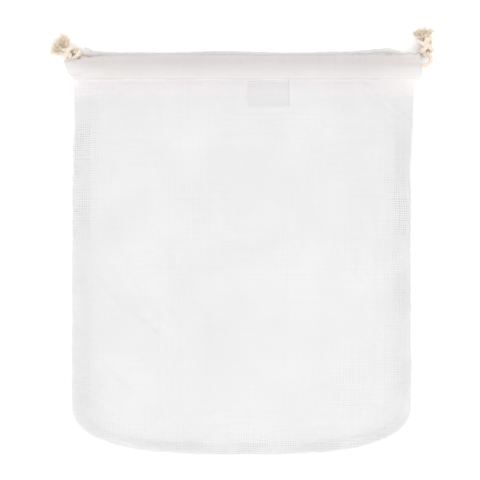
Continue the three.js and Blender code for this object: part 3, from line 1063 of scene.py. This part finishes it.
def outline(inset, top_y):
    """The seam from the top left, down, round the bottom and up to the top right."""
    y = np.linspace(top_y, CORNER_Y, 150)[:, None]
    left = np.concatenate([inset - HALF_WIDTH + mouth_shift(y), y], 1)
    right = np.concatenate([HALF_WIDTH - inset + mouth_shift(y), y], 1)[::-1]
    angle = np.linspace(math.pi - 0.02, 0.02, 260)
    return np.concatenate([left, seam_point(angle, inset), right])


def panel_runs(top_y):
    def columns(x):
        low = float(bottom_edge(np.clip(x / HALF_WIDTH, -1, 1)))
        return runs_where(lambda y: np.abs(x - mouth_shift(y)) < HALF_WIDTH, low, top_y)[:1]

    def rows(y):
        half = HALF_WIDTH * float(width_share(y))
        shift = float(mouth_shift(y))
        return [(shift - half, shift + half)]
    return columns, rows


def knot_axes(lean):
    """The way a knot points, the direction across it, and straight up."""
    axis = np.array([-math.sin(math.radians(lean)), math.cos(math.radians(lean)), 0.0])
    return axis, np.array([axis[1], -axis[0], 0.0]), np.array([0.0, 0.0, 1.0])


def make_drawstring(side, route, base):
    """One cord from its knot through both tunnels and back, laid from three strands."""
    ends = [np.array(base) + 0.35 * (np.array(p) - np.array(base)) for p in (route[0], route[-1])]
    line = spline([tuple(ends[0]), *route, tuple(ends[1])], 0.9 * MM)
    bundle = Bundle()
    rope(bundle, line, ROPE_SHARE * CORD_DIAMETER, STRAND_LAY)
    piece = bundle.piece(f"{side}_cord_twist", cotton)
    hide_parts(f"{side}_drawstring")
    return piece, line


def knot_strand(base, lean, size, stretch, centre, turned, lift):
    """The middle line of one of the two cord ends through an overhand knot: up the middle, over the
    front, round the back and out under itself. Each stop is (degrees, radius, height)."""
    stops = [
        (205, 1.2, -1.2), (190, 1.7, 2.0), (165, 2.4, 5.5), (120, 4.2, 9.2), (65, 5.0, 10.4),
        (5, 5.3, 8.6), (-50, 5.3, 5.6), (-105, 5.2, 3.2), (-165, 5.1, 2.6), (-220, 4.9, 4.4),
        (-262, 3.6, 7.4), (-285, 2.0, 10.6), (-292, 1.5, 14.6),
    ]
    axis, across, up = knot_axes(lean)
    points = []
    for degrees, radius, height in stops:
        radius, height = radius * size, centre + (height - 6.5) * stretch
        angle = math.radians(degrees + turned)
        arched = height + lift * math.sin(math.pi * min(1, max(0, height / 12)))
        middle = np.array(base) + axis * arched
        middle[2] -= 0.6
        point = middle + radius * (math.cos(angle) * across + KNOT_SQUASH * math.sin(angle) * up)
        points.append((point[0], point[1], max(point[2], KNOT_REST)))
    return spline(points, 0.7 * MM)


def make_knot(side, base, lean, size, stretch, centre, turned):
    bundle = Bundle()
    for turn, lift in ((turned, 0.6), (turned + 180, -0.5)):
        line = knot_strand(base, lean, size, stretch, centre, turn, lift)
        rope(bundle, line, size * CORD_DIAMETER, 0.9 * STRAND_LAY, turn)
    return finish_piece(
        bundle, f"{side}_overhand_knot", f"{side}_knot", cotton, "cotton_cord", f"{side}_knot_end"
    )


def make_frayed_ends(side, base, knot_lean, tassel_lean, spread, length, seed):
    """Two untwisted cord ends: a short bundle that opens into loose curved fibres."""
    rng = np.random.default_rng(seed)
    bundle = Bundle()
    axis, across, up = knot_axes(tassel_lean)
    root = np.array(base) + knot_axes(knot_lean)[0] * (KNOT_LENGTH - 1.5)
    for end in (-1, 1):
        for strand in range(3):
            turn = 2 * math.pi * strand / 3 + end
            around = math.cos(turn) * across + math.sin(turn) * up
            start = root + 1.5 * end * across + 0.9 * around
            aim = unit(axis * 5 + spread * (0.5 * end * across + 0.45 * around))
            tip = start + aim * (0.55 * length)
            middle = (start + tip) / 2 + 0.35 * up
            line = spline([tuple(start), tuple(middle), tuple(tip)], 0.8 * MM)
            widths = np.interp(np.linspace(0, 1, len(line)), [0, 0.35, 1], [0.95, 0.9, 0.25]) * MM
            sweep(bundle, line, widths, 7)
            for _ in range(HAIRS):
                out = rng.normal(0, 1, 2) * spread * 0.5
                hair_aim = unit(aim * 5 + out[0] * across + out[1] * up)
                begin = start + aim * rng.uniform(0.1, 0.45) * length
                begin = begin + 0.5 * (rng.normal() * across + rng.normal() * up)
                reach = length * rng.uniform(0.35, 0.68)
                curl = (rng.normal() * across + rng.normal() * up) * 0.16 * reach
                stop = begin + hair_aim * reach
                stop[2] = max(stop[2], 0.5)
                bend = begin + hair_aim * 0.55 * reach + curl
                bend[2] = max(bend[2], 0.4)
                hair = spline([tuple(begin), tuple(bend), tuple(stop)], 1.1 * MM)
                share = np.linspace(0, 1, len(hair))
                thick = np.interp(share, [0, 0.6, 1], [0.22, 0.18, 0.07]) * MM
                sweep(bundle, hair, thick * rng.uniform(0.7, 1.3), 4)
    return finish_piece(
        bundle, f"{side}_frayed_tips", f"{side}_frayed_ends", fray, "cotton_cord",
        f"{side}_knot_end",
    )


def make_cords():
    for side, route, base, lean, form, tassel, toward in (
        ("left", LEFT_ROUTE, LEFT_KNOT_BASE, LEFT_KNOT_LEAN, (1.1, 1.16, 6.7, 22),
         (LEFT_TASSEL_LEAN, 3.4, 17, 31), (-0.98, 0.2)),
        ("right", RIGHT_ROUTE, RIGHT_KNOT_BASE, RIGHT_KNOT_LEAN, (1.08, 1.3, 5.9, 140),
         (RIGHT_KNOT_LEAN, 5.5, 11, 32), (0.1, 1)),
    ):
        cord, line = make_drawstring(side, route, base)
        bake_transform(cord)
        knot = make_knot(side, base, lean, *form)
        tips = make_frayed_ends(side, base, lean, *tassel)
        tuple(line[0])
        line_length(line)
        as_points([tuple(p) for p in line[::4]] + [tuple(line[-1])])


make_camera()
make_light()

cotton = cord_material("cotton_cord", (0.86, 0.76, 0.655), (0.64, 0.53, 0.43))
# Partly painted light: the loose fibres are a paler copy of the cord's cotton, partly for the paler
# look of loose fibre and partly to lift the shade between the hairs.
fray = yarn_material("frayed_cotton", (0.97, 0.9, 0.79), (0.91, 0.82, 0.69), 0.4)
# Painted light: the net is 0.945 as bright below 138 mm up the bag and full bright above 150 mm,
# lightening the cloth just under the front casing where the casing shades it.
yarn = yarn_material(
    "net_yarn_painted_light", (0.985, 0.98, 0.98), (0.945, 0.94, 0.94), 0.35, 0.945, (1.0, 0.975, 0.98),
    (0.138, 0.15),
)
# Painted light: a lighter copy of the net's cloth for the seam allowances, lifting the shade
# between their stacked plies.
raw_yarn_painted_light = yarn_material("seam_yarn_painted_light", (0.98, 0.965, 0.97), (0.95, 0.935, 0.94), 0.4)
# Painted shade: the front casing's cloth is a darker copy of the net's, and darker still above 168
# mm up the bag, standing in for the shade in the folded, cord-filled tunnel.
hem_yarn_painted_shade = yarn_material(
    "casing_yarn_painted_shade", (0.85, 0.83, 0.825), (0.79, 0.77, 0.765), 0.2, 1.0, (0.88, 0.865, 0.86),
    (0.156, 0.168),
)
# Painted light: a lighter copy of the casing cloth, so that the back casing's edge stays pale where
# the front casing shades it.
back_hem_yarn_painted_light = yarn_material("back_casing_yarn_painted_light", (0.94, 0.935, 0.935), (0.9, 0.895, 0.895), 0.4)
thread = yarn_material("sewing_thread", (0.93, 0.925, 0.915), (0.87, 0.86, 0.85), 0.1)
tape = label_material()

make_cords()
make_floor(floor_material())
front, back = shape_panels()
front_made, back_made = make_nets(front, back, yarn)
front_fold = make_casing("front_casing", True, (-146.5, 155), (-120, 124), hem_yarn_painted_shade, 51)
back_fold = make_casing(
    "back_casing", False, (-138.5, 140.5), (-120.5, 124.5), back_hem_yarn_painted_light, 52
)
front_stitches, back_stitches = make_hem_stitches(front_fold, back_fold, thread)
seams = make_allowances(raw_yarn_painted_light, thread)
make_label(tape)
